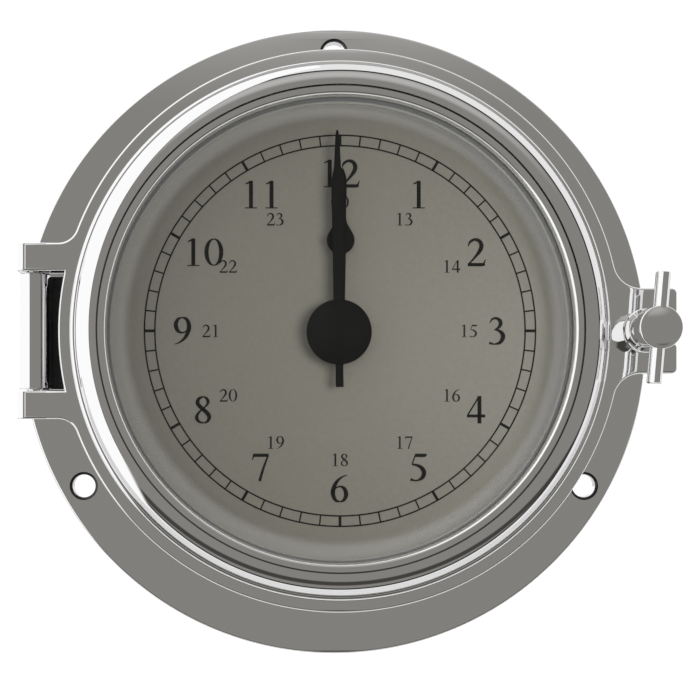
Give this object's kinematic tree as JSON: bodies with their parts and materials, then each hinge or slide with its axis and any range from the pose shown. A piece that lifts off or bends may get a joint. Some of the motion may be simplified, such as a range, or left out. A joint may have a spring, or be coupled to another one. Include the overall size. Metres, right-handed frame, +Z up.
{
  "type": "porthole wall clock",
  "caption": "Round chrome ship's clock for a bulkhead: flanged case, hinged glazed door with a thumb screw, and a grey dial with black hands.",
  "frame": {"origin": "centre of the flange's back face, on the wall", "axes": "+Z up as it hangs, +X to the reader's right, -Y towards the reader, +Y into the wall"},
  "size_m": [0.184, 0.0458, 0.184],
  "materials": {
    "chrome": "polished chrome plate on brass",
    "steel": "plain bright steel",
    "rubber": "black rubber",
    "black_plastic": "matt black moulded plastic",
    "dial": "satin grey-beige lacquer with black print",
    "hand_black": "satin black lacquer",
    "brass": "turned brass",
    "battery_jacket": "plain printed jacket",
    "motor": "steel laminations and copper winding",
    "board": "green circuit board",
    "glass": "clear bevelled glass"
  },
  "bodies": {
    "case": {"case_body": "chrome", "case_gasket": "rubber", "back_cover": "black_plastic", "back_cover_screws": "steel", "dial_plate": "dial", "dial_retaining_ring": "chrome", "hinge_pin": "chrome", "movement_front_shell": "black_plastic", "movement_rear_shell": "black_plastic", "movement_bushing": "brass", "dial_washer": "rubber", "bushing_washer": "brass", "bushing_nut": "brass", "battery": "battery_jacket", "battery_contacts": "steel", "motor_unit": "motor", "circuit_board": "board", "quartz_crystal": "steel"},
    "door": {"door_ring": "chrome", "lens": "glass", "lens_gasket": "rubber", "lens_retaining_ring": "chrome", "lens_ring_screws": "steel", "keeper_pin": "steel"},
    "screw_carrier": {"screw_washer": "chrome"},
    "screw": {"thumb_screw": "chrome", "tommy_bar": "chrome"},
    "minute": {"minute_hand": "hand_black", "hub_cap": "hand_black", "centre_arbor": "brass"},
    "hour": {"hour_hand": "hand_black", "hour_wheel": "brass"},
    "motion_wheel": {"minute_wheel": "brass"},
    "third": {"third_wheel": "brass"},
    "fourth": {"fourth_wheel": "brass"},
    "setting": {"setting_stem": "black_plastic"}
  },
  "joints": [
    {"name": "door_hinge", "type": "hinge", "parent": "case", "child": "door", "pos_m": [-0.0785, -0.032, 0], "axis": [0, 0, -1], "range_deg": [0, 165]},
    {"name": "screw_travel", "type": "slide", "parent": "door", "child": "screw_carrier", "axis": [0, -1, 0], "range_m": [0, 0.005]},
    {"name": "screw_spin", "type": "hinge", "parent": "screw_carrier", "child": "screw", "pos_m": [0.0775, -0.04, 0], "axis": [0, -1, 0], "range_deg": [0, 1440]},
    {"name": "minute_spin", "type": "hinge", "parent": "case", "child": "minute", "pos_m": [0, -0.02, 0], "axis": [0, 1, 0], "continuous": true},
    {"name": "hour_spin", "type": "hinge", "parent": "case", "child": "hour", "pos_m": [0, -0.02, 0], "axis": [0, 1, 0], "continuous": true},
    {"name": "minute_wheel_spin", "type": "hinge", "parent": "case", "child": "motion_wheel", "pos_m": [0.012, -0.02, 0], "axis": [0, 1, 0], "continuous": true},
    {"name": "third_wheel_spin", "type": "hinge", "parent": "case", "child": "third", "pos_m": [0.0054, -0.02, 0.00935], "axis": [0, 1, 0], "continuous": true},
    {"name": "fourth_wheel_spin", "type": "hinge", "parent": "case", "child": "fourth", "pos_m": [-0.00343, -0.02, 0.01445], "axis": [0, 1, 0], "continuous": true},
    {"name": "setting_spin", "type": "hinge", "parent": "case", "child": "setting", "pos_m": [0.01775, -0.02, 0.00996], "axis": [0, 1, 0], "continuous": true}
  ],
  "couplings": [
    {"joint": "screw_travel", "follows": "screw_spin", "m_per_rad": 0.00019894},
    {"joint": "hour_spin", "follows": "minute_spin", "ratio": 0.083333},
    {"joint": "minute_wheel_spin", "follows": "minute_spin", "ratio": -0.33333},
    {"joint": "third_wheel_spin", "follows": "minute_spin", "ratio": -8},
    {"joint": "fourth_wheel_spin", "follows": "minute_spin", "ratio": 60},
    {"joint": "setting_spin", "follows": "minute_spin", "ratio": 1.2}
  ]
}
